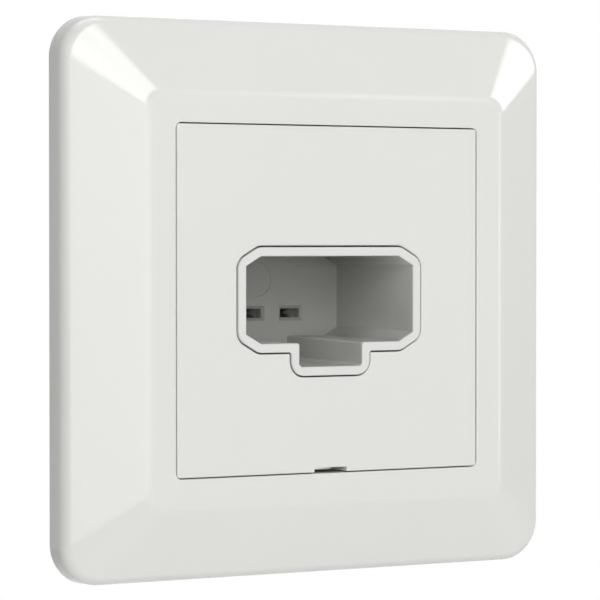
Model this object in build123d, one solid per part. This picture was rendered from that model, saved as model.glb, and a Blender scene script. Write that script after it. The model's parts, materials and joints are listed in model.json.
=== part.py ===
from build123d import *
import math
import os

# Lighting connection outlet for a flush wall box, sizes in millimetres.
# X runs to the right, Y into the wall and Z up.
# The wall is Y = 0, and the origin is midway between the box screws.

# Flush face, shared by the frame's border and the plate
stand_off = 10.8
plate_size = 54.8
plate_gap = 0.2
face_edge = 0.15

# Cover frame
frame_width = 88.0
face_band = 4.7
bevel_drop = 6.25
frame_corner = 6.5
face_corner = 2.6
side_round = 2.5
side_band = 2.0
side_draft = 2.2
crease_round = 2.5
crease_band = 1.1
frame_wall = 2.0
well_wall = 1.8
ledge_width = 2.0
ledge_thickness = 2.2
rib_thickness = 1.2
rib_offset = 17.0
rib_lift = 1.6

# Centre plate
plate_corner = 0.5
plate_wall = 2.0
skirt_wall = 1.6
skirt_seat = 0.1
guide_wall = 1.2
guide_depth = 5.0
plate_rib = 1.0
plate_rib_depth = 4.0
hook_offset = 8.0
hook_width = 7.0
hook_wall = 1.6
hook_inset = 1.0
hook_reach = 1.5
hook_nose = 1.5
hook_play = 0.15

# Keyed plug socket
socket_width = 30.6
socket_height = 13.76
chamfer_width = 2.65
chamfer_height = 1.53
key_width = 11.5
key_depth = 3.77
socket_depth = 23.8
socket_draft = 0.9
key_lip = 0.25
key_corner = 0.4
track_height = 0.8
track_inset = 0.15
track_depth = 13.0
track_end = 16.2
track_margin = 0.4
collar_wall = 1.4
collar_gap = 0.25
collar_rise = 0.15
collar_corner = 2.3
collar_root = 0.5

# Contact slots in the socket's floor
pole_pitch = 7.3
pole_middle = -1.17
slot_drop = 2.75
slot_width = 3.6
slot_height = 1.5
slot_flare = 0.52
slot_lead = 0.5
mark_middle = -0.56
mark_rise = 2.85
mark_radius = 2.85
mark_depth = 0.12

# Housing behind the wall
floor_wall = 2.0
flange_margin = 0.3
flange_rim = 4.45
flange_corner = 5.0
flange_thickness = 2.2
post_gap = 0.5
post_radius = 3.0
post_length = 10.0
post_web = 2.0
gusset_offset = 11.0
gusset_thickness = 1.2
gusset_length = 7.0
gusset_margin = 1.0

# Support plate and its screws
support_size = 71.0
support_corner = 6.0
support_thickness = 1.0
support_play = 0.35
frame_seat = 0.2
box_pitch = 60.0
box_slot_width = 4.2
box_slot_length = 8.0
screw_room = 9.0
screw_room_depth = 4.5
screw_radius = 1.25
screw_play = 0.1
screw_length = 8.0
screw_head = 2.6
screw_head_height = 1.6
driver_slot = 0.8
driver_depth = 0.8

# Catch spring in the release notch
notch_width = 5.95
notch_height = 0.75
notch_play = 0.1
catch_sheet = 0.5
catch_width = 3.8
catch_bend = 1.0
catch_setback = 2.8
nose_radius = 12.0
nose_edge = 0.08
catch_base_width = 12.0
catch_base_height = 6.5
catch_base_rise = 6.25
window_width = 2.2
window_length = 1.8
window_setback = 1.2
lug_play = 0.2
lug_height = 0.35

# Contact carrier and rear cover
carrier_height = 15.0
carrier_drop = 1.0
carrier_corner = 1.5
carrier_depth = 11.5
chamber_front = 6.0
chamber_play = 0.15
cover_thickness = 2.0
arm_wall = 1.6
arm_width = 8.0
arm_play = 0.15
arm_reach = 3.8
catch_lug = 1.1
catch_lug_width = 5.0
catch_lug_length = 1.6
catch_lug_setback = 1.6
entry_width = 2.3
entry_height = 2.4
entry_flare = 0.25
entry_lead = 0.6
release_width = 2.0
release_height = 0.8
release_rise = 2.0

# Fork contacts
contact_width = 3.4
contact_sheet = 0.5
contact_setback = 1.1
earth_lead = 0.8
mouth_spread = 0.95
nip_spread = 0.5
leaf_spread = 1.0
nip_length = 1.9
leaf_rest = 1.2
jog_length = 1.4

# Push-in terminals, two wires to a pole
terminal_pitch = 10.0
cage_width = 7.4
cage_sheet = 0.7
cage_room = 4.4
wire_offset = 1.55
clamp_width = 2.6
clamp_sheet = 0.3
clamp_bend = 0.5
clamp_margin = 0.5
clamp_gap = 0.1

tiny = 0.001

# Places that several pieces share
opening_half = plate_size / 2 + plate_gap
face_half = opening_half + face_band
frame_half = frame_width / 2
frame_lean = math.atan2(bevel_drop, frame_half - face_half)
frame_taper = 90 - math.degrees(frame_lean)
well_back = -(support_thickness + frame_seat)
ledge_front = well_back - ledge_thickness
skirt_back = ledge_front - skirt_seat
support_front = -support_thickness
collar_front = -(stand_off + collar_rise)
socket_floor = socket_depth + collar_front
housing_back = socket_floor + floor_wall
carrier_back = housing_back + carrier_depth
cover_back = carrier_back + cover_thickness
collar_half = socket_width / 2 + collar_wall
post_offset = collar_half + post_gap + post_radius
flange_width = 2 * (post_offset + post_radius + flange_margin)
flange_height = 2 * (socket_height / 2 + key_depth + collar_wall + flange_rim)
hook_top = plate_size / 2 - skirt_wall - hook_inset
notch_floor = notch_height - plate_size / 2
tongue_height = notch_floor - notch_play - catch_sheet / 2
catch_base_middle = tongue_height + catch_base_rise
nose_front = catch_setback - stand_off
cage_front = housing_back + chamber_front
cage_start = cage_front + chamber_play
cage_end = carrier_back - chamber_play
rail_height = -slot_drop - leaf_spread
cage_bottom = rail_height - contact_sheet / 2 - cage_sheet
cage_height = cage_room + 2 * cage_sheet
cage_roof = cage_bottom + cage_height - cage_sheet
fork_places = {
    "neutral": pole_middle - pole_pitch,
    "earth": pole_middle,
    "line": pole_middle + pole_pitch,
}
cage_places = {"neutral": -terminal_pitch, "earth": 0, "line": terminal_pitch}
wire_sides = {"left": -wire_offset, "right": wire_offset}


def front_plane(y):
    return Plane(origin=(0, y, 0), x_dir=(1, 0, 0), z_dir=(0, -1, 0))


def slab(outline, front, back):
    # A front-view outline, X across and Z up, given its depth along Y
    return extrude(front_plane(back) * outline, back - front)


def narrowing(outline, back, height, taper):
    # A front-view outline at Y = back that narrows towards the front, or widens if taper is negative
    return extrude(front_plane(back) * outline, height, taper=taper)


def across(profile, width):
    # A side-view profile, Y across and Z up, given its width along X
    return extrude(Plane.YZ * profile, width / 2, both=True)


def square(half, corner):
    return RectangleRounded(2 * half, 2 * half, corner)


def edges_at(solid, y):
    return solid.edges().filter_by_position(Axis.Y, y - tiny, y + tiny)


def socket_polygon(grow):
    # Keyed octagon of the plug socket, grown outwards by an even wall
    lean = math.atan2(chamfer_height, chamfer_width)
    side = socket_width / 2 + grow
    top = socket_height / 2 + grow
    flat = socket_width / 2 - chamfer_width + grow * math.tan(lean / 2)
    upright = socket_height / 2 - chamfer_height + grow * math.tan((math.pi / 2 - lean) / 2)
    key = key_width / 2 + grow
    key_floor = socket_height / 2 + key_depth + grow
    right = [(key, -key_floor), (key, -top), (flat, -top), (side, -upright), (side, upright), (flat, top)]
    left = [(-x, z) for x, z in reversed(right)]
    return Polygon(*right, *left, align=None)


def socket_outline(grow, corner, root):
    # The same octagon with rounded corners, and small rounds where the keyway joins it
    key = key_width / 2 + grow
    top = socket_height / 2 + grow

    def is_root(vertex):
        return abs(abs(vertex.X) - key) < tiny and abs(vertex.Y + top) < tiny

    outline = socket_polygon(grow)
    outline = fillet(outline.vertices().filter_by(lambda vertex: not is_root(vertex)), corner)
    return fillet(outline.vertices().filter_by(is_root), root)


def key_edges(cavity, low, high):
    # Edges that run into the depth along the keyway, between two heights
    return [edge for edge in cavity.edges()
            if edge.bounding_box().size.Y > socket_depth / 2
            and abs(edge.center().X) < key_width / 2 and low < edge.center().Z < high]


def make_cover_frame():
    # Drafted side wall, widest at its foot, and the rounded band above it
    shoulder = bevel_drop - stand_off
    side_outline = square(frame_half, frame_corner)
    foot_spread = -shoulder * math.tan(math.radians(side_draft))
    foot_outline = square(frame_half + foot_spread, frame_corner + foot_spread)
    side_rise = side_band * math.tan(frame_lean)
    body = narrowing(foot_outline, 0, -shoulder, side_draft)
    body += narrowing(side_outline, shoulder, side_rise, frame_taper)
    body = fillet(edges_at(body, shoulder), side_round)

    # Slope, with corners that fan out from the flat border to the side wall
    crease_drop = crease_band * math.tan(frame_lean)
    crease_outline = square(face_half + crease_band, face_corner + crease_band)
    band_outline = square(frame_half - side_band, frame_corner - side_band)
    body += loft([front_plane(crease_drop - stand_off) * crease_outline,
                  front_plane(shoulder - side_rise) * band_outline], ruled=True)

    # Flat border with a soft crease
    cap = narrowing(crease_outline, crease_drop - stand_off, crease_drop, frame_taper)
    body += fillet(edges_at(cap, -stand_off), crease_round)

    # Hollow behind the border and the slope, one wall inside them
    roof = frame_wall - stand_off
    roof_half = face_half - frame_wall * math.tan(frame_lean / 2)
    core_half = frame_half - frame_wall
    core_flare = core_half - roof_half
    core_drop = core_flare * math.tan(frame_lean)
    far_side = 2 * roof_half + core_flare
    core = Pos(0, roof, 0) * Wedge(2 * roof_half, core_drop, 2 * roof_half, -core_flare, -core_flare,
                                   far_side, far_side, align=(Align.CENTER, Align.MIN, Align.CENTER))
    core += slab(Rectangle(2 * core_half, 2 * core_half), roof + core_drop, 0)
    core &= slab(square(core_half, frame_corner - frame_wall), -stand_off, 0)

    # Wall round the opening and the ribs that tie it to the side walls
    core -= slab(square(opening_half + well_wall, plate_corner + well_wall), -stand_off, well_back)
    for offset in (-rib_offset, rib_offset):
        core -= slab(Pos(offset, 0) * Rectangle(rib_thickness, frame_width), -stand_off, -rib_lift)
        core -= slab(Pos(0, offset) * Rectangle(frame_width, rib_thickness), -stand_off, -rib_lift)
    frame = body - core

    # Stepped opening: the plate's skirt stands on the ledge
    frame -= slab(square(opening_half, plate_corner + plate_gap), -stand_off, ledge_front)
    frame -= slab(square(opening_half - ledge_width, plate_corner), ledge_front, 0)
    rim = [edge for edge in edges_at(frame, -stand_off)
           if max(abs(edge.center().X), abs(edge.center().Z)) < opening_half + tiny]
    frame = chamfer(rim, face_edge)

    # Room for the heads of the box screws and for the catch spring
    for sign in (-1, 1):
        room = Pos(sign * box_pitch / 2, 0) * Rectangle(screw_room, screw_room)
        frame -= slab(room, -screw_room_depth, 0)
    slot_middle = ledge_width / 2 - opening_half
    frame -= slab(Pos(0, slot_middle) * Rectangle(notch_width, ledge_width), ledge_front, 0)
    return frame


def make_centre_plate():
    half = plate_size / 2
    roof = plate_wall - stand_off
    body = slab(square(half, plate_corner), -stand_off, skirt_back)
    core = slab(Rectangle(plate_size - 2 * skirt_wall, plate_size - 2 * skirt_wall), roof, skirt_back)
    collar_room = collar_wall + collar_gap
    core -= slab(socket_polygon(collar_room + guide_wall), roof, roof + guide_depth)
    rib_back = roof + plate_rib_depth
    core -= slab(Rectangle(plate_size, plate_rib), roof, rib_back)
    for sign in (-1, 1):
        core -= slab(Pos(sign * hook_offset, 0) * Rectangle(plate_rib, plate_size), roof, rib_back)
    plate = body - core
    opening = socket_outline(collar_room, collar_corner + collar_gap, collar_root - collar_gap)
    plate -= slab(opening, -stand_off, skirt_back)
    plate = chamfer(edges_at(plate, -stand_off), face_edge)

    # Hooks that reach through the support plate and up behind it
    for sign in (-1, 1):
        leg = Pos(sign * hook_offset, hook_top - hook_wall / 2) * Rectangle(hook_width, hook_wall)
        plate += slab(leg, roof, hook_play + hook_nose)
        nose = Pos(sign * hook_offset, hook_top + hook_reach / 2) * Rectangle(hook_width, hook_reach)
        plate += slab(nose, hook_play, hook_play + hook_nose)

    # Release notch along the lower skirt, with the lug that the catch holds
    notch = Pos(0, notch_floor - notch_height) * Rectangle(notch_width, 2 * notch_height)
    plate -= slab(notch, -stand_off, skirt_back)
    lug_front = nose_front + window_setback + lug_play
    lug_back = lug_front + window_length - 2 * lug_play
    lug_root = notch_floor + lug_height
    lug = Polygon((lug_front, lug_root), (lug_front, notch_floor - lug_height),
                  (lug_back, notch_floor), (lug_back, lug_root), align=None)
    return plate + across(lug, window_width - 2 * lug_play)


def make_support_plate():
    outline = RectangleRounded(support_size, support_size, support_corner)
    outline -= socket_polygon(collar_wall + support_play)
    for sign in (-1, 1):
        outline -= Pos(sign * box_pitch / 2, 0) * SlotOverall(box_slot_length, box_slot_width)
        outline -= Pos(sign * post_offset, 0) * Circle(screw_radius + screw_play)
        hook_slot = Rectangle(hook_width + 2 * support_play, hook_wall + 2 * support_play)
        outline -= Pos(sign * hook_offset, hook_top - hook_wall / 2) * hook_slot
    return slab(outline, support_front, 0)


def make_support_screws():
    head_front = support_front - screw_head_height
    head = slab(Circle(screw_head), head_front, support_front)
    head -= slab(Rectangle(2 * screw_head, driver_slot), head_front, head_front + driver_depth)
    screw = head + slab(Circle(screw_radius), support_front, screw_length - screw_play)
    return Compound([Pos(sign * post_offset, 0, 0) * screw for sign in (-1, 1)])


def make_catch_spring():
    # Leaf bent forwards from the support plate, with a blunt rounded nose
    sheet_middle = support_front - catch_sheet / 2
    path = FilletPolyline((sheet_middle, catch_base_middle), (sheet_middle, tongue_height),
                          (nose_front, tongue_height), radius=catch_bend)
    strip = across(trace(path, catch_sheet), catch_width)
    nose = Pos(0, nose_front + nose_radius) * Circle(nose_radius)
    nose += Pos(0, nose_front + nose_radius + stand_off / 2) * Rectangle(2 * nose_radius, stand_off)
    strip &= Pos(0, 0, -plate_size) * extrude(nose, plate_size)
    tip = [edge for edge in strip.edges().filter_by(GeomType.CIRCLE)
           if edge.center().Y < nose_front + nose_edge]
    strip = chamfer(tip, nose_edge)
    window_middle = nose_front + window_setback + window_length / 2
    strip -= Pos(0, window_middle, tongue_height) * Box(window_width, window_length, 2 * catch_sheet)
    base = Pos(0, catch_base_middle) * Rectangle(catch_base_width, catch_base_height)
    return strip + slab(base, support_front - catch_sheet, support_front)


def make_socket_housing():
    body = slab(RectangleRounded(flange_width, flange_height, flange_corner), 0, flange_thickness)
    body += slab(socket_outline(collar_wall, collar_corner, collar_root), collar_front, flange_thickness)
    body += slab(socket_polygon(collar_wall), flange_thickness, housing_back)
    body += slab(Rectangle(2 * post_offset, post_web), 0, post_length)
    for sign in (-1, 1):
        body += slab(Pos(sign * post_offset, 0) * Circle(post_radius), 0, post_length)
        body -= slab(Pos(sign * post_offset, 0) * Circle(screw_radius + screw_play), 0, screw_length)
    collar_middle = socket_height / 2 + collar_wall / 2
    gusset_top = flange_height / 2 - gusset_margin
    for rise in (-1, 1):
        gusset = Polygon((flange_thickness, rise * collar_middle), (flange_thickness, rise * gusset_top),
                         (flange_thickness + gusset_length, rise * collar_middle), align=None)
        for sign in (-1, 1):
            body += Pos(sign * gusset_offset, 0, 0) * across(gusset, gusset_thickness)

    # Wedges that the rear cover's arms snap over
    lug_front = housing_back - catch_lug_setback - catch_lug_length
    inner = collar_half - collar_wall / 2
    for sign in (-1, 1):
        wedge = Polygon((sign * inner, lug_front), (sign * (collar_half + catch_lug), lug_front),
                        (sign * collar_half, lug_front + catch_lug_length),
                        (sign * inner, lug_front + catch_lug_length), align=None)
        body += extrude(wedge, catch_lug_width / 2, both=True)

    # Drafted plug cavity, its keyway eased along the lips and in the lower corners
    shrink = socket_depth * math.tan(math.radians(socket_draft))
    cavity = narrowing(socket_polygon(-shrink), socket_floor, socket_depth, -socket_draft)
    key_floor = socket_height / 2 + key_depth
    cavity = chamfer(key_edges(cavity, -key_floor, -socket_height / 2), key_corner)
    cavity = chamfer(key_edges(cavity, -socket_height / 2, 0), key_lip)
    body -= cavity

    # Latch track low in the keyway: straight sides that run out into the drafted walls
    track_side = key_width / 2 - track_inset
    track_tip = key_width / 2 - shrink
    track = Polygon((-track_side, 0), (track_side, 0), (track_side, track_depth), (track_tip, track_end),
                    (-track_tip, track_end), (-track_side, track_depth), align=None)
    track_bottom = key_floor - shrink - key_corner
    body -= Pos(0, collar_front + track_margin, -track_bottom) * extrude(track, track_height)
    body = chamfer(edges_at(body, collar_front), face_edge)

    # Contact slots with lead-ins, and the round mould mark above them
    slot = Rectangle(slot_width, slot_height)
    flare = math.degrees(math.atan2(slot_flare, slot_lead))
    for x in fork_places.values():
        place = Pos(x, -slot_drop)
        body -= slab(place * slot, socket_floor, housing_back)
        body -= narrowing(place * slot, socket_floor + slot_lead, slot_lead, -flare)
    mark = Pos(mark_middle, mark_rise) * Circle(mark_radius)
    return body - slab(mark, socket_floor, socket_floor + mark_depth)


def make_contact_carrier():
    outline = RectangleRounded(2 * collar_half, carrier_height, carrier_corner)
    carrier = slab(Pos(0, -carrier_drop) * outline, housing_back, carrier_back)
    fork_room = 2 * (leaf_spread + contact_sheet / 2 + chamber_play)
    fork_width = contact_width + 2 * chamber_play
    jog_front = cage_front - jog_length - chamber_play
    for pole, fork_x in fork_places.items():
        cage_x = cage_places[pole]
        carrier -= slab(Pos(fork_x, -slot_drop) * Rectangle(fork_width, fork_room), housing_back, cage_front)
        jog = Rectangle(abs(cage_x - fork_x) + fork_width, fork_room)
        carrier -= slab(Pos((fork_x + cage_x) / 2, -slot_drop) * jog, jog_front, cage_front)
        chamber = Rectangle(cage_width + 2 * chamber_play, cage_height + 2 * chamber_play)
        carrier -= slab(Pos(cage_x, cage_bottom + cage_height / 2) * chamber, cage_front, carrier_back)
    return carrier


def make_rear_cover():
    half = collar_half + arm_play + arm_wall
    cover = slab(Pos(0, -carrier_drop) * RectangleRounded(2 * half, carrier_height, carrier_corner),
                 carrier_back, cover_back)

    # Arms along the carrier that snap over the housing's wedges
    arm_front = housing_back - arm_reach
    arm_window = catch_lug_length + 2 * arm_play
    window_middle = housing_back - catch_lug_setback - catch_lug_length / 2
    for sign in (-1, 1):
        arm = Pos(sign * (half - arm_wall / 2), 0) * Rectangle(arm_wall, arm_width)
        cover += slab(arm, arm_front, carrier_back)
        window = Box(2 * arm_wall, arm_window, catch_lug_width + 2 * arm_play)
        cover -= Pos(sign * half, window_middle, 0) * window

    # Wire entries, each with a slot above it for releasing the wire
    entry = Rectangle(entry_width, entry_height)
    flare = math.degrees(math.atan2(entry_flare, entry_lead))
    entry_middle = rail_height + contact_sheet / 2 + entry_height / 2
    for cage_x in cage_places.values():
        for side in wire_sides.values():
            place = Pos(cage_x + side, entry_middle)
            cover -= slab(place * entry, carrier_back, cover_back)
            flared = Rectangle(entry_width + 2 * entry_flare, entry_height + 2 * entry_flare)
            cover -= narrowing(place * flared, cover_back, entry_lead, flare)
            release = Pos(cage_x + side, entry_middle + release_rise)
            cover -= slab(release * Rectangle(release_width, release_height), carrier_back, cover_back)
    return cover


def make_contact(pole):
    # Two leaves that nip a flat blade, on a rail that jogs across to the terminal
    fork_x = fork_places[pole]
    cage_x = cage_places[pole]
    front = housing_back + contact_setback
    if pole == "earth":
        front -= earth_lead
    back = cage_front - contact_sheet
    leaf = [(front, mouth_spread), (front + nip_length, nip_spread), (back - leaf_rest, leaf_spread)]
    upper = [(y, z - slot_drop) for y, z in leaf]
    lower = [(y, -z - slot_drop) for y, z in leaf]
    bow = Polyline(*upper, (back, leaf_spread - slot_drop), (back, rail_height), *reversed(lower))
    fork = Pos(fork_x, 0, 0) * across(trace(bow, contact_sheet), contact_width)
    jog_middle = cage_front - jog_length / 2
    jog_width = abs(cage_x - fork_x) + contact_width
    rail = Pos((fork_x + cage_x) / 2, jog_middle) * Rectangle(jog_width, jog_length)
    tail_length = cage_end - jog_middle
    tail_width = 2 * wire_offset + clamp_width
    rail += Pos(cage_x, jog_middle + tail_length / 2) * Rectangle(contact_width, tail_length)
    rail += Pos(cage_x, (cage_start + cage_end) / 2) * Rectangle(tail_width, cage_end - cage_start)
    return fork + Pos(0, 0, rail_height - contact_sheet / 2) * extrude(rail, contact_sheet)


def make_terminal(pole):
    # Sheet cage, open to the front for the contact's tail and to the rear for the wires
    shell = Rectangle(cage_width, cage_height)
    shell -= Rectangle(cage_width - 2 * cage_sheet, cage_room)
    place = Pos(cage_places[pole], cage_bottom + cage_height / 2)
    return slab(place * shell, cage_start, cage_end)


def make_clamp_spring(pole, side):
    # Bent leaf under the cage's roof whose free edge bites the wire against the rail
    top = cage_roof - clamp_sheet / 2
    low = rail_height + contact_sheet / 2 + clamp_gap + clamp_sheet
    start = cage_start + clamp_margin
    bend = cage_end - clamp_margin
    path = Polyline((start, top), (bend - clamp_bend, top), (bend, top - clamp_bend), (start, low))
    leaf = across(trace(path, clamp_sheet), clamp_width)
    return Pos(cage_places[pole] + wire_sides[side], 0, 0) * leaf


nodes = {
    "cover_frame": make_cover_frame(),
    "centre_plate": make_centre_plate(),
    "support_plate": make_support_plate(),
    "support_screws": make_support_screws(),
    "catch_spring": make_catch_spring(),
    "socket_housing": make_socket_housing(),
    "contact_carrier": make_contact_carrier(),
    "rear_cover": make_rear_cover(),
}
for pole in fork_places:
    nodes[f"{pole}_contact"] = make_contact(pole)
    nodes[f"{pole}_terminal"] = make_terminal(pole)
    for side in wire_sides:
        nodes[f"{pole}_clamp_{side}"] = make_clamp_spring(pole, side)

os.makedirs("parts", exist_ok=True)
for node, shape in nodes.items():
    export_step(shape, f"parts/{node}.step")
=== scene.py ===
import json
import math

import bmesh
import bpy
from mathutils import Matrix, Vector


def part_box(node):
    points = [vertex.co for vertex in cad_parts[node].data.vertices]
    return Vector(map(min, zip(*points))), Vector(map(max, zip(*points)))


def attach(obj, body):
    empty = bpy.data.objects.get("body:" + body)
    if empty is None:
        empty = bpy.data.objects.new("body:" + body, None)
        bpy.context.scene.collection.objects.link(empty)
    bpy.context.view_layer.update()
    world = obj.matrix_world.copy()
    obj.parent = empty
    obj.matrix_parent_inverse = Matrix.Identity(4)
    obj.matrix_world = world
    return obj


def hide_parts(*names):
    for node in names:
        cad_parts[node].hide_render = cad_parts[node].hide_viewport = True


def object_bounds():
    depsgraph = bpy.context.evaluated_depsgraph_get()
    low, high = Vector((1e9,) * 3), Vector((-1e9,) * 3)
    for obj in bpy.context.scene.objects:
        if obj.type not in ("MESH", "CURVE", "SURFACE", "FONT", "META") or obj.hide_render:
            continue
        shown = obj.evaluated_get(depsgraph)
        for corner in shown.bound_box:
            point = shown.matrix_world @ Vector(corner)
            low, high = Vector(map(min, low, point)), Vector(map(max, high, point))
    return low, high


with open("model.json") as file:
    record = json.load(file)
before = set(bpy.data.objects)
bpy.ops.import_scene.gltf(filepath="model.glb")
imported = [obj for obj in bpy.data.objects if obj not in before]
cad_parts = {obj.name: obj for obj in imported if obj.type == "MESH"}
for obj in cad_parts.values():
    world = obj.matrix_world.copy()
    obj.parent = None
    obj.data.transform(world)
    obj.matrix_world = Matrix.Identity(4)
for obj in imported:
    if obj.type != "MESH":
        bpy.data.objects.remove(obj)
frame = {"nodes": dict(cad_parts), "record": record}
cadLow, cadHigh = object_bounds()
nodes = frame["nodes"]
scene = bpy.context.scene
mm = 0.001
print("frame loaded,", len(nodes), "nodes")


# small helpers for meshes

def addObject(name, bm):
    mesh = bpy.data.meshes.new(name)
    bmesh.ops.recalc_face_normals(bm, faces=bm.faces)
    bm.to_mesh(mesh)
    bm.free()
    obj = bpy.data.objects.new(name, mesh)
    scene.collection.objects.link(obj)
    return obj


def squareRing(half, radius, y, cornerSteps, sideSteps):
    # rounded square in the X-Z plane at depth y, anticlockwise from the right side
    points = []
    middle = half - radius
    for quarter in range(4):
        turn = quarter * math.pi / 2
        c, s = math.cos(turn), math.sin(turn)
        local = [(half, middle * (2 * i / sideSteps - 1)) for i in range(sideSteps)]
        for i in range(cornerSteps):
            a = math.pi / 2 * i / cornerSteps
            local.append((middle + radius * math.cos(a), middle + radius * math.sin(a)))
        points += [Vector((c * u - s * v, y, s * u + c * v)) for u, v in local]
    return points


def bridgeRings(bm, rings):
    # quads between each ring and the next, and from the last back to the first
    loops = [[bm.verts.new(p) for p in ring] for ring in rings]
    for one, two in zip(loops, loops[1:] + loops[:1]):
        for i in range(len(one)):
            j = (i + 1) % len(one)
            bm.faces.new((one[i], one[j], two[j], two[i]))


def roundCorner(before, corner, after, radius, steps):
    # arc of the given radius between two straight runs of a profile
    u = (before - corner).normalized()
    v = (after - corner).normalized()
    half = math.acos(u.dot(v)) / 2
    start = u * (radius / math.tan(half))
    centre = (u + v).normalized() * (radius / math.sin(half))
    first = math.atan2(start.y - centre.y, start.x - centre.x)
    turn = math.pi - 2 * half
    if u.x * v.y - u.y * v.x > 0:
        turn = -turn
    angles = [first + turn * i / steps for i in range(steps + 1)]
    return [corner + centre + radius * Vector((math.cos(a), math.sin(a))) for a in angles]


def boxTool(low, high):
    bm = bmesh.new()
    bmesh.ops.create_cube(bm, size=1)
    for v in bm.verts:
        v.co = Vector([low[k] if v.co[k] < 0 else high[k] for k in range(3)])
    return addObject("tool", bm)


def prismTool(outline, along, turned):
    # outline of half width and depth, drawn out across Z, or across X where it is turned
    bm = bmesh.new()
    sides = []
    for a in along:
        sides.append([bm.verts.new((a, y, h) if turned else (h, y, a)) for h, y in outline])
    bm.faces.new(sides[0])
    bm.faces.new(sides[1])
    for i in range(len(outline)):
        j = (i + 1) % len(outline)
        bm.faces.new((sides[0][i], sides[0][j], sides[1][j], sides[1][i]))
    return addObject("tool", bm)


def boolean(obj, tool, operation):
    # applied at once, the tool goes away
    mod = obj.modifiers.new("cut", "BOOLEAN")
    mod.object = tool
    mod.operation = operation
    mod.solver = "EXACT"
    depsgraph = bpy.context.evaluated_depsgraph_get()
    result = bpy.data.meshes.new_from_object(obj.evaluated_get(depsgraph))
    obj.modifiers.remove(mod)
    obj.data = result
    bpy.data.objects.remove(tool)


def smoothByAngle():
    # node tree that shades smooth and keeps edges above an angle sharp
    tree = bpy.data.node_groups.new("smoothByAngle", "GeometryNodeTree")
    tree.interface.new_socket("Geometry", in_out="INPUT", socket_type="NodeSocketGeometry")
    tree.interface.new_socket("Angle", in_out="INPUT", socket_type="NodeSocketFloat")
    tree.interface.new_socket("Geometry", in_out="OUTPUT", socket_type="NodeSocketGeometry")
    source = tree.nodes.new("NodeGroupInput")
    sink = tree.nodes.new("NodeGroupOutput")
    faces = tree.nodes.new("GeometryNodeSetShadeSmooth")
    edges = tree.nodes.new("GeometryNodeSetShadeSmooth")
    edges.domain = "EDGE"
    bend = tree.nodes.new("GeometryNodeInputMeshEdgeAngle")
    under = tree.nodes.new("FunctionNodeCompare")
    under.operation = "LESS_THAN"
    tree.links.new(source.outputs["Geometry"], faces.inputs["Geometry"])
    tree.links.new(faces.outputs["Geometry"], edges.inputs["Geometry"])
    tree.links.new(bend.outputs["Unsigned Angle"], under.inputs[0])
    tree.links.new(source.outputs["Angle"], under.inputs[1])
    tree.links.new(under.outputs["Result"], edges.inputs["Shade Smooth"])
    tree.links.new(edges.outputs["Geometry"], sink.inputs["Geometry"])
    return tree


smoothTree = smoothByAngle()


def smoothShade(obj, angle):
    mod = obj.modifiers.new("smooth shading", "NODES")
    mod.node_group = smoothTree
    mod[smoothTree.interface.items_tree["Angle"].identifier] = math.radians(angle)


softening = {"merge": 0.0005 * mm, "flatAngle": 0.4, "sharpAngle": 30, "segments": 3, "shadeAngle": 35,
             "normalWeight": 100}


def softenEdges(obj, width, p):
    # merge flat facets, then round every sharp edge a little
    weld = obj.modifiers.new("joined facets", "WELD")
    weld.merge_threshold = p["merge"]
    flat = obj.modifiers.new("flat facets", "DECIMATE")
    flat.decimate_type = "DISSOLVE"
    flat.angle_limit = math.radians(p["flatAngle"])
    bevel = obj.modifiers.new("soft edges", "BEVEL")
    bevel.width = width
    bevel.segments = p["segments"]
    bevel.limit_method = "ANGLE"
    bevel.angle_limit = math.radians(p["sharpAngle"])
    smoothShade(obj, p["shadeAngle"])
    weight = obj.modifiers.new("even normals", "WEIGHTED_NORMAL")
    weight.keep_sharp = True
    weight.weight = p["normalWeight"]


# small helpers for shader nodes

def feed(tree, value, socket):
    # a socket is linked, a colour or a number is set
    if isinstance(value, bpy.types.NodeSocket):
        tree.links.new(value, socket)
    elif isinstance(value, tuple):
        socket.default_value = (*value, 1)
    else:
        socket.default_value = value


def mathNode(tree, operation, *values):
    node = tree.nodes.new("ShaderNodeMath")
    node.operation = operation
    for value, socket in zip(values, node.inputs):
        feed(tree, value, socket)
    return node.outputs[0]


def sumNode(tree, one, oneShare, two, twoShare):
    first = mathNode(tree, "MULTIPLY", one, oneShare)
    second = mathNode(tree, "MULTIPLY", two, twoShare)
    return mathNode(tree, "ADD", first, second)


def rangeNode(tree, value, low, high):
    # 0..1 onto low..high
    node = tree.nodes.new("ShaderNodeMapRange")
    for label, end in (("Value", value), ("To Min", low), ("To Max", high)):
        feed(tree, end, node.inputs[label])
    return node.outputs["Result"]


def mixNode(tree, factor, one, two, blend="MIX"):
    # the colour sockets of a mix node come after those for numbers and vectors
    node = tree.nodes.new("ShaderNodeMix")
    node.data_type = "RGBA"
    node.blend_type = blend
    for value, socket in ((factor, node.inputs[0]), (one, node.inputs[6]), (two, node.inputs[7])):
        feed(tree, value, socket)
    return node.outputs[2]


def noiseNode(tree, vector, scale, detail, roughness):
    noise = tree.nodes.new("ShaderNodeTexNoise")
    for label, value in (("Vector", vector), ("Scale", scale), ("Detail", detail), ("Roughness", roughness)):
        feed(tree, value, noise.inputs[label])
    return noise.outputs["Fac"]


def placeAxes(tree, coordinates):
    axes = tree.nodes.new("ShaderNodeSeparateXYZ")
    tree.links.new(tree.nodes.new("ShaderNodeTexCoord").outputs[coordinates], axes.inputs[0])
    return axes.outputs


def newMaterial(name):
    mat = bpy.data.materials.new(name)
    mat.use_nodes = True
    return mat


def principled(mat):
    return next(n for n in mat.node_tree.nodes if n.type == "BSDF_PRINCIPLED")


# shader node groups shared by several finishes

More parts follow.
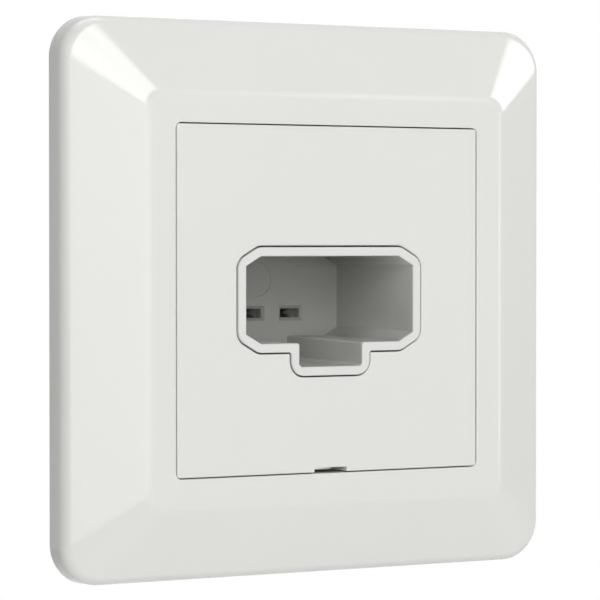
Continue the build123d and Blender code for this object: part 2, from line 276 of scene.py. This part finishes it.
def newSkin(name, inputs):
    tree = bpy.data.node_groups.new(name, "ShaderNodeTree")
    for label in inputs:
        tree.interface.new_socket(label, in_out="INPUT", socket_type="NodeSocketFloat")
    for label in ("Tone", "Gloss", "Height"):
        tree.interface.new_socket(label, in_out="OUTPUT", socket_type="NodeSocketFloat")
    place = tree.nodes.new("ShaderNodeTexCoord").outputs["Object"]
    source = tree.nodes.new("NodeGroupInput")
    sink = tree.nodes.new("NodeGroupOutput")
    return tree, place, source.outputs, sink.inputs


mouldedNoise = {
    "flow": {"detail": 4, "roughness": 0.55}, "peel": {"detail": 2, "roughness": 0.4},
    "grain": {"detail": 2, "roughness": 0.6}, "grainFiner": 6,
    "hazeFlow": 0.6, "hazeGrain": 0.4, "peelHeight": 1.0, "grainHeight": 0.15,
}


def mouldedSkin(p):
    # moulded plastic: broad flow shades, fine orange peel, a little haze in the gloss
    inputs = ("Peel Scale", "Flow Scale", "Gloss Low", "Gloss High")
    tree, place, given, result = newSkin("mouldedSkin", inputs)
    flow = noiseNode(tree, place, given["Flow Scale"], **p["flow"])
    peel = noiseNode(tree, place, given["Peel Scale"], **p["peel"])
    grainScale = mathNode(tree, "MULTIPLY", given["Peel Scale"], p["grainFiner"])
    grain = noiseNode(tree, place, grainScale, **p["grain"])
    haze = sumNode(tree, flow, p["hazeFlow"], grain, p["hazeGrain"])
    tree.links.new(flow, result["Tone"])
    tree.links.new(rangeNode(tree, haze, given["Gloss Low"], given["Gloss High"]), result["Gloss"])
    tree.links.new(sumNode(tree, peel, p["peelHeight"], grain, p["grainHeight"]), result["Height"])
    return tree


rolledNoise = {
    "lines": {"detail": 4, "roughness": 0.65}, "mottle": {"detail": 3, "roughness": 0.6},
    "drawnOut": (0.06, 1.0, 1.0), "lineTone": 0.5, "mottleTone": 0.5,
}


def rolledMetal(p):
    # sheet metal: drawn-out rolling grain and mottled plating, in the tone and in the gloss
    inputs = ("Grain Scale", "Mottle Scale", "Gloss Low", "Gloss High")
    tree, place, given, result = newSkin("rolledMetal", inputs)
    stretch = tree.nodes.new("ShaderNodeMapping")
    stretch.inputs["Scale"].default_value = p["drawnOut"]
    tree.links.new(place, stretch.inputs["Vector"])
    lines = noiseNode(tree, stretch.outputs["Vector"], given["Grain Scale"], **p["lines"])
    mottle = noiseNode(tree, place, given["Mottle Scale"], **p["mottle"])
    tone = sumNode(tree, lines, p["lineTone"], mottle, p["mottleTone"])
    tree.links.new(tone, result["Tone"])
    tree.links.new(rangeNode(tree, tone, given["Gloss Low"], given["Gloss High"]), result["Gloss"])
    tree.links.new(lines, result["Height"])
    return tree


# finishes

def finish(name, skin, look):
    # one Principled material fed by a shared skin group
    mat = newMaterial(name)
    tree = mat.node_tree
    bsdf = principled(mat)
    group = tree.nodes.new("ShaderNodeGroup")
    group.node_tree = skin
    for label, value in look["skin"].items():
        group.inputs[label].default_value = value
    tint = mixNode(tree, group.outputs["Tone"], look["dark"], look["light"])
    tree.links.new(tint, bsdf.inputs["Base Color"])
    tree.links.new(group.outputs["Gloss"], bsdf.inputs["Roughness"])
    bump = tree.nodes.new("ShaderNodeBump")
    bump.inputs["Strength"].default_value = look["bump"]
    bump.inputs["Distance"].default_value = look["bumpDepth"]
    tree.links.new(group.outputs["Height"], bump.inputs["Height"])
    tree.links.new(bump.outputs["Normal"], bsdf.inputs["Normal"])
    bsdf.inputs["Metallic"].default_value = look.get("metallic", 0)
    bsdf.inputs["IOR"].default_value = look.get("ior", 1.5)
    return mat


moulded = mouldedSkin(mouldedNoise)
rolled = rolledMetal(rolledNoise)

finishes = {
    "gloss_white": finish("glossWhite", moulded, {
        "dark": (0.742, 0.744, 0.712), "light": (0.764, 0.764, 0.735), "ior": 1.55,
        "bump": 0.06, "bumpDepth": 0.02 * mm,
        "skin": {"Peel Scale": 900, "Flow Scale": 45, "Gloss Low": 0.17, "Gloss High": 0.23}}),
    "housing_white": finish("housingWhite", moulded, {
        "dark": (0.73, 0.73, 0.714), "light": (0.756, 0.756, 0.742),
        "bump": 0.06, "bumpDepth": 0.02 * mm,
        "skin": {"Peel Scale": 1300, "Flow Scale": 60, "Gloss Low": 0.14, "Gloss High": 0.22}}),
    "moulded_grey": finish("mouldedGrey", moulded, {
        "dark": (0.60, 0.60, 0.59), "light": (0.68, 0.68, 0.665),
        "bump": 0.35, "bumpDepth": 0.03 * mm,
        "skin": {"Peel Scale": 2200, "Flow Scale": 80, "Gloss Low": 0.38, "Gloss High": 0.55}}),
    "zinc_plate": finish("zincPlate", rolled, {
        "dark": (0.50, 0.52, 0.54), "light": (0.72, 0.73, 0.74), "metallic": 1,
        "bump": 0.2, "bumpDepth": 0.01 * mm,
        "skin": {"Grain Scale": 900, "Mottle Scale": 220, "Gloss Low": 0.24, "Gloss High": 0.44}}),
    "spring_steel": finish("springSteel", rolled, {
        "dark": (0.74, 0.74, 0.73), "light": (0.86, 0.86, 0.85), "metallic": 1,
        "bump": 0.1, "bumpDepth": 0.005 * mm,
        "skin": {"Grain Scale": 2500, "Mottle Scale": 500, "Gloss Low": 0.40, "Gloss High": 0.50}}),
    "tinned_brass": finish("tinnedBrass", rolled, {
        "dark": (0.34, 0.34, 0.33), "light": (0.48, 0.48, 0.465), "metallic": 1,
        "bump": 0.15, "bumpDepth": 0.006 * mm,
        "skin": {"Grain Scale": 1800, "Mottle Scale": 420, "Gloss Low": 0.18, "Gloss High": 0.34}}),
}

# painted shade for the plug cavity: the box it fills, and the darker tones at the mouth and at the floor
cavityShadePaint = {
    "halfWidth": 15.42 * mm, "low": -10.8 * mm, "high": 7.0 * mm, "depth": 23.8 * mm,
    "mouth": 0.15 * mm, "fade": 0.5 * mm,
    "mouthShadeTone": (0.82, 0.82, 0.805), "floorShadeTone": (0.575, 0.575, 0.56),
}


def paintCavityShade(mat, p):
    # painted shade: walls darkened from just inside the mouth, and more so towards the cavity's floor,
    # standing in for the shade deep in the recess
    tree = mat.node_tree
    colour = principled(mat).inputs["Base Color"]
    axes = placeAxes(tree, "Object")
    across = mathNode(tree, "LESS_THAN", mathNode(tree, "ABSOLUTE", axes["X"]), p["halfWidth"])
    above = mathNode(tree, "GREATER_THAN", axes["Z"], p["low"])
    below = mathNode(tree, "LESS_THAN", axes["Z"], p["high"])
    mask = mathNode(tree, "MULTIPLY", mathNode(tree, "MULTIPLY", across, above), below)
    depth = mathNode(tree, "SUBTRACT", axes["Y"], cadLow.y + p["mouth"])
    shadeMask = mathNode(tree, "MULTIPLY", mask, mathNode(tree, "DIVIDE", depth, p["fade"]))
    # painted shade: the colour darkens with depth, from the mouth tone to the floor tone
    tone = mixNode(tree, mathNode(tree, "DIVIDE", depth, p["depth"]), p["mouthShadeTone"], p["floorShadeTone"])
    plain = colour.links[0].from_socket
    shade = mixNode(tree, rangeNode(tree, shadeMask, 0.0, 1.0), plain, tone, "MULTIPLY")
    tree.links.new(shade, colour)


# paints shade into the cavity walls of the housing's white material
paintCavityShade(finishes["housing_white"], cavityShadePaint)
print("finishes made:", ", ".join(finishes))


# cover frame, one smooth moulding

coverFrame = {
    "faceBand": 4.7 * mm, "plateGap": 0.2 * mm, "bevelDrop": 6.25 * mm, "sideDraft": 2.2,
    "sideCorner": 6.5 * mm, "faceCorner": 2.6 * mm, "openingCorner": 0.7 * mm,
    "sideRound": 2.5 * mm, "creaseRound": 2.5 * mm, "rimRound": 0.25 * mm, "openingRound": 0.18 * mm,
    "wall": 2.0 * mm, "wellWall": 1.8 * mm, "wellBack": -1.2 * mm,
    "ledgeWidth": 2.0 * mm, "ledgeFront": -3.4 * mm,
    "ribOffset": 17 * mm, "ribThickness": 1.2 * mm, "ribBack": -1.6 * mm, "ribOverlap": 0.3 * mm,
    "screwPitch": 60 * mm, "screwRoom": 9 * mm, "screwRoomDepth": 4.5 * mm,
    "notchWidth": 5.95 * mm, "overcut": 1 * mm,
    "cornerSteps": 24, "sideSteps": 10, "rimSteps": 4,
    "sideRoundSteps": 14, "creaseSteps": 12, "openingSteps": 5,
    "slopeCuts": (0.25, 0.4, 0.55, 0.7, 0.85), "borderCuts": (0.35, 0.65), "shadeAngle": 32,
}


def makeCoverFrame(p):
    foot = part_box("cover_frame")[1].x
    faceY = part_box("cover_frame")[0].y
    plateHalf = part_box("centre_plate")[1].x
    opening = plateHalf + p["plateGap"]
    faceHalf = opening + p["faceBand"]
    shoulderY = faceY + p["bevelDrop"]
    half = foot + shoulderY * math.tan(math.radians(p["sideDraft"]))
    lean = math.atan2(p["bevelDrop"], half - faceHalf)
    roofY = faceY + p["wall"]
    roofHalf = faceHalf - p["wall"] * math.tan(lean / 2)
    coreHalf = half - p["wall"]
    coreY = roofY + (coreHalf - roofHalf) * math.tan(lean)
    well = opening + p["wellWall"]
    ledge = opening - p["ledgeWidth"]

    def point(h, y):
        return Vector((h, y))

    # section through the moulding: half width and depth, outer face first
    rim = point(foot, 0)
    shoulder = point(half, shoulderY)
    crease = point(faceHalf, faceY)
    mouth = point(opening, faceY)
    seat = point(opening, p["ledgeFront"])
    section = roundCorner(point(coreHalf, 0), rim, shoulder, p["rimRound"], p["rimSteps"])
    section += roundCorner(rim, shoulder, crease, p["sideRound"], p["sideRoundSteps"])
    section += [shoulder.lerp(crease, t) for t in p["slopeCuts"]]
    section += roundCorner(shoulder, crease, mouth, p["creaseRound"], p["creaseSteps"])
    section += [crease.lerp(mouth, t) for t in p["borderCuts"]]
    section += roundCorner(crease, mouth, seat, p["openingRound"], p["openingSteps"])
    section += [seat, point(ledge, p["ledgeFront"]), point(ledge, p["wellBack"]), point(well, p["wellBack"])]
    core = [point(well, roofY), point(roofHalf, roofY), point(coreHalf, coreY), point(coreHalf, 0)]

    def ring(s, inset):
        # corners widen from the face to the side, and are less by the wall inside
        share = (s.x - faceHalf) / (half - faceHalf)
        radius = p["faceCorner"] + (p["sideCorner"] - p["faceCorner"]) * share - inset
        return squareRing(s.x, max(radius, p["openingCorner"]), s.y, p["cornerSteps"], p["sideSteps"])

    bm = bmesh.new()
    bridgeRings(bm, [ring(s, 0) for s in section] + [ring(s, p["wall"]) for s in core])
    obj = addObject("coverFrame", bm)

    def ribFront(h):
        # half way into the wall, along the slope
        return roofY - p["wall"] / 2 + max(abs(h) - roofHalf, 0) * math.tan(lean)

    # ribs between the well and the side walls, rooms for screw heads and catch
    for sign in (-1, 1):
        reach = sorted(sign * h for h in (well - p["ribOverlap"], roofHalf, coreHalf + p["ribOverlap"]))
        outline = [(h, ribFront(h)) for h in reach] + [(reach[-1], p["ribBack"]), (reach[0], p["ribBack"])]
        for offset in (-p["ribOffset"], p["ribOffset"]):
            along = (offset - p["ribThickness"] / 2, offset + p["ribThickness"] / 2)
            for turned in (False, True):
                boolean(obj, prismTool(outline, along, turned), "UNION")
        screwX = sign * p["screwPitch"] / 2
        room = p["screwRoom"] / 2
        low = (screwX - room, -p["screwRoomDepth"], -room)
        boolean(obj, boxTool(low, (screwX + room, p["overcut"], room)), "DIFFERENCE")
    notch = p["notchWidth"] / 2
    low = (-notch, p["ledgeFront"], -opening)
    boolean(obj, boxTool(low, (notch, p["overcut"], p["overcut"] - ledge)), "DIFFERENCE")
    smoothShade(obj, p["shadeAngle"])
    return obj


frameShell = makeCoverFrame(coverFrame)
frameShell.data.materials.append(finishes["gloss_white"])
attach(frameShell, "root")
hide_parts("cover_frame")
print("cover frame built,", len(frameShell.data.polygons), "faces")


# pieces that keep their solids: edge rounds and finishes

edgeRounds = {
    "centre_plate": 0.12 * mm, "socket_housing": 0.12 * mm, "support_plate": 0.12 * mm,
    "support_screws": 0.25 * mm, "contact_carrier": 0.2 * mm,
}
smallRound = 0.06 * mm
slotOf = {row["node"]: row["material_slot"] for row in frame["record"]["subparts"]}
for name, obj in nodes.items():
    if name == "cover_frame":
        continue
    obj.data.materials.clear()
    obj.data.materials.append(finishes[slotOf[name]])
    softenEdges(obj, edgeRounds.get(name, smallRound), softening)
print("solids dressed")


# stage, light and camera

stage = {"drop": 0.25, "front": -0.04, "size": 1.2, "colour": (0.86, 0.86, 0.855), "roughness": 0.6,
         "lowGlow": 1.54, "glowStart": -0.4, "glowSlope": 2.9}


def makeStage(p):
    bm = bmesh.new()
    bmesh.ops.create_grid(bm, x_segments=1, y_segments=1, size=p["size"] / 2)
    floor = addObject("floor", bm)
    floor.location = (0, p["front"] + p["size"] / 2, cadLow.z - p["drop"])
    mat = newMaterial("paleFloor")
    bsdf = principled(mat)
    bsdf.inputs["Base Color"].default_value = (*p["colour"], 1)
    bsdf.inputs["Roughness"].default_value = p["roughness"]
    floor.data.materials.append(mat)

    # white where it is seen or mirrored, and else a glow from below
    world = bpy.data.worlds.new("studio")
    scene.world = world
    world.use_nodes = True
    tree = world.node_tree
    tree.nodes.clear()
    path = tree.nodes.new("ShaderNodeLightPath").outputs
    seen = mathNode(tree, "MAXIMUM", path["Is Camera Ray"], path["Is Glossy Ray"])
    seen = mathNode(tree, "MAXIMUM", seen, path["Is Transmission Ray"])
    height = placeAxes(tree, "Generated")["Z"]
    downward = mathNode(tree, "MULTIPLY", mathNode(tree, "SUBTRACT", p["glowStart"], height), p["glowSlope"])
    glow = rangeNode(tree, downward, 0.0, p["lowGlow"])
    sky = tree.nodes.new("ShaderNodeBackground")
    sky.inputs["Color"].default_value = (1, 1, 1, 1)
    tree.links.new(rangeNode(tree, seen, glow, 1.0), sky.inputs["Strength"])
    out = tree.nodes.new("ShaderNodeOutputWorld")
    tree.links.new(sky.outputs["Background"], out.inputs["Surface"])


def softBox(name, direction, along, distance, size, power, mirrored=True):
    # a lamp that looks back at the object, its first side along the second direction
    # one that isn't mirrored lights the object and shows in no reflection
    lamp = bpy.data.lights.new(name, "AREA")
    lamp.shape = "RECTANGLE"
    lamp.size, lamp.size_y = size
    lamp.energy = power
    obj = bpy.data.objects.new(name, lamp)
    scene.collection.objects.link(obj)
    aim = Vector(direction).normalized()
    wide = (Vector(along) - aim * aim.dot(Vector(along))).normalized()
    turn = Matrix((wide, aim.cross(wide), aim)).transposed()
    obj.location = aim * distance
    obj.rotation_euler = turn.to_euler()
    obj.visible_glossy = mirrored


lights = {
    "cornerLow": {"direction": (-0.316, -0.866, 0.389), "along": (0.299, 0.054, 0.335), "distance": 1.97,
                  "size": (0.945, 0.51), "power": 10.3},
    "cornerHigh": {"direction": (0.024, -0.736, 0.677), "along": (0.331, 0.182, 0.19), "distance": 1.97,
                   "size": (0.873, 0.51), "power": 7.9},
    "rightStrip": {"direction": (0.87, -0.268, 0.415), "along": (-0.37, -0.34, 0.56), "distance": 1.96,
                   "size": (1.52, 0.286), "power": 8.0},
    "overhead": {"direction": (0, 0.1, 1), "along": (1, 0, 0), "distance": 1.2, "size": (0.9, 0.6),
                 "power": 4.3},
    "leftBox": {"direction": (-0.74, -0.58, 0.34), "along": (0, 0, 1), "distance": 1.3, "size": (1.0, 0.8),
                "power": 2.2},
    "frontLeft": {"direction": (-0.45, -0.89, 0), "along": (1, 0, 0), "distance": 1.3, "size": (0.5, 0.5),
                  "power": 1.76},
    "topCrease": {"direction": (0.52, -0.742, 0.423), "along": (-0.01, 0.249, 0.456), "distance": 1.2,
                  "size": (0.64, 0.12), "power": 0.6},
    "leftCrease": {"direction": (-0.05, -0.999, 0), "along": (0, 0, 1), "distance": 1.2, "size": (0.34, 0.92),
                   "power": 1.68},
    "rightCrease": {"direction": (0.766, -0.643, 0), "along": (0, 0, 1), "distance": 1.2, "size": (0.3, 0.14),
                    "power": 0.7},
    "behind": {"direction": (0.45, 0.88, 0.15), "along": (1, 0, 0), "distance": 1.4, "size": (1.0, 0.6),
               "power": 10.0, "mirrored": False},
}

camera = {"place": (-0.24077, -0.42273, 0.00977), "yaw": 29.718, "pitch": 1.186, "lens": 180.53, "sensor": 36,
          "clipStart": 0.01}


def makeCamera(p):
    data = bpy.data.cameras.new("camera")
    data.lens = p["lens"]
    data.sensor_width = p["sensor"]
    data.clip_start = p["clipStart"]
    obj = bpy.data.objects.new("camera", data)
    scene.collection.objects.link(obj)
    obj.location = p["place"]
    obj.rotation_euler = (math.radians(90 - p["pitch"]), 0, math.radians(-p["yaw"]))
    scene.camera = obj


makeStage(stage)
for name, lamp in lights.items():
    softBox(name, **lamp)
makeCamera(camera)
scene.view_settings.view_transform = "Standard"
print("stage, light and camera set")
